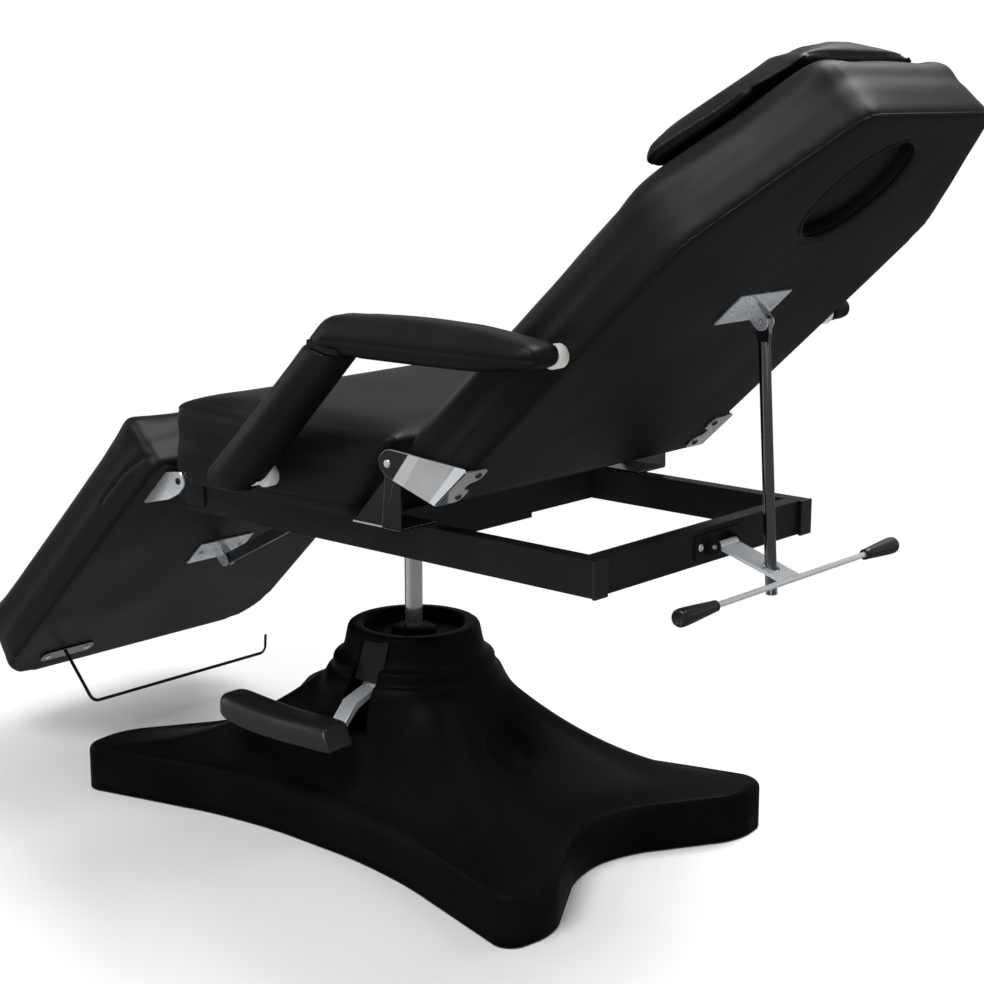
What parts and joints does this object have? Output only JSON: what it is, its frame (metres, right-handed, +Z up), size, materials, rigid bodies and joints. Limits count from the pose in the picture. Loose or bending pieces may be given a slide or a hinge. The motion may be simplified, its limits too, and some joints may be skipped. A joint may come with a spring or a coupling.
{
  "type": "massage table",
  "caption": "Black padded treatment table with tilting backrest and leg rest, folding armrests and face hole, on a pedal-pumped hydraulic column over an X-shaped base.",
  "frame": {"origin": "on the floor, on the axis of the lift column", "axes": "+X towards the head end, -Y the near side with the pedal, +Z up"},
  "size_m": [1.6449, 0.737, 1.1726],
  "materials": {
    "vinyl": "satin",
    "board": "vinyl covered",
    "paint": "satin",
    "shell": "gloss",
    "plastic": "satin",
    "chrome": "polished",
    "zinc": "zinc plated",
    "steel": "dark",
    "nylon": "white"
  },
  "bodies": {
    "base": {"base_cover": "shell", "base_frame": "steel", "pump_cylinder": "steel", "column_gland": "plastic", "pedal_pin": "zinc"},
    "pedal": {"pedal_arm": "zinc", "pedal_pad": "plastic"},
    "column": {"lift_piston": "chrome"},
    "seat_frame": {"side_rail_near": "paint", "side_rail_far": "paint", "rail_cap_near": "plastic", "rail_cap_far": "plastic", "head_rail": "paint", "cross_rear": "paint", "cross_mid": "paint", "foot_strip": "paint", "column_plate": "paint", "seat_board": "board", "seat_cushion": "vinyl", "hinge_bracket_near": "chrome", "hinge_bracket_far": "chrome", "leg_lug_near": "paint", "leg_lug_far": "paint", "lever_bracket": "paint", "lever_pin": "zinc", "leg_guide": "paint", "seat_spacer_near": "nylon", "seat_spacer_far": "nylon"},
    "backrest": {"back_board": "board", "back_cushion": "vinyl", "hinge_arm_near": "chrome", "hinge_arm_far": "chrome", "strut_clevis": "zinc", "strut_pin": "zinc", "pillow": "vinyl", "face_plug": "vinyl", "back_spacer_near": "nylon", "back_spacer_far": "nylon"},
    "back_strut": {"strut_rod": "chrome", "strut_stop": "steel"},
    "lever": {"lever_plate": "zinc", "tee_bar": "zinc", "grip_near": "plastic", "grip_far": "plastic"},
    "leg_rest": {"leg_board": "board", "leg_cushion": "vinyl", "leg_arm_near": "zinc", "leg_arm_far": "zinc", "leg_clevis": "zinc", "leg_pin": "zinc", "paper_plate": "zinc", "paper_wire": "chrome"},
    "leg_bar": {"leg_strut": "steel"},
    "guide_sleeve": {"leg_sleeve": "steel"},
    "arm_near": {"arm_pad_near": "vinyl"},
    "arm_far": {"arm_pad_far": "vinyl"},
    "post_near": {"arm_post_near": "vinyl"},
    "post_far": {"arm_post_far": "vinyl"}
  },
  "joints": [
    {"name": "lift", "type": "slide", "parent": "base", "child": "column", "axis": [0, 0, 1], "range_m": [-0.07, 0.08]},
    {"name": "swivel", "type": "hinge", "parent": "column", "child": "seat_frame", "pos_m": [0, 0, 0.45], "axis": [0, 0, 1], "continuous": true},
    {"name": "pedal_press", "type": "hinge", "parent": "base", "child": "pedal", "pos_m": [0.01, -0.1, 0.226], "axis": [1, 0, 0], "range_deg": [0, 12], "stiffness_Nm_per_rad": 12, "springref_deg": -11.46},
    {"name": "back_tilt", "type": "hinge", "parent": "seat_frame", "child": "backrest", "pos_m": [0.2425, 0, 0.631], "axis": [0, -1, 0], "range_deg": [-43, 2]},
    {"name": "back_strut_swing", "type": "hinge", "parent": "backrest", "child": "back_strut", "pos_m": [0.61805, 0, 0.82123], "axis": [0, -1, 0], "range_deg": [-2, 22]},
    {"name": "lever_lift", "type": "hinge", "parent": "seat_frame", "child": "lever", "pos_m": [0.5685, 0, 0.5155], "axis": [0, -1, 0], "range_deg": [0, 5], "stiffness_Nm_per_rad": 5, "springref_deg": -5.73},
    {"name": "leg_lift", "type": "hinge", "parent": "seat_frame", "child": "leg_rest", "pos_m": [-0.2488, 0, 0.5332], "axis": [0, 1, 0], "range_deg": [0, 44]},
    {"name": "leg_bar_swing", "type": "hinge", "parent": "leg_rest", "child": "leg_bar", "pos_m": [-0.47031, 0, 0.32207], "axis": [0, 1, 0], "range_deg": [-12, 1]},
    {"name": "sleeve_swing", "type": "hinge", "parent": "seat_frame", "child": "guide_sleeve", "pos_m": [-0.13, 0, 0.498], "axis": [0, 1, 0], "range_deg": [-1, 33]},
    {"name": "arm_near_swing", "type": "hinge", "parent": "backrest", "child": "arm_near", "pos_m": [0.53197, 0, 0.80153], "axis": [0, -1, 0], "range_deg": [-2, 18]},
    {"name": "post_near_swing", "type": "hinge", "parent": "seat_frame", "child": "post_near", "pos_m": [0.005, 0, 0.583], "axis": [0, -1, 0], "range_deg": [-25, 2]},
    {"name": "arm_far_swing", "type": "hinge", "parent": "backrest", "child": "arm_far", "pos_m": [0.53197, 0, 0.80153], "axis": [0, -1, 0], "range_deg": [-2, 18]},
    {"name": "post_far_swing", "type": "hinge", "parent": "seat_frame", "child": "post_far", "pos_m": [0.005, 0, 0.583], "axis": [0, -1, 0], "range_deg": [-25, 2]}
  ],
  "couplings": [
    {"joint": "back_strut_swing", "follows": "back_tilt", "ratio": -0.5},
    {"joint": "leg_bar_swing", "follows": "leg_lift", "ratio": -0.2591},
    {"joint": "sleeve_swing", "follows": "leg_lift", "ratio": 0.7409},
    {"joint": "arm_near_swing", "follows": "back_tilt", "ratio": -0.41},
    {"joint": "post_near_swing", "follows": "back_tilt", "ratio": 0.58},
    {"joint": "arm_far_swing", "follows": "back_tilt", "ratio": -0.41},
    {"joint": "post_far_swing", "follows": "back_tilt", "ratio": 0.58}
  ]
}
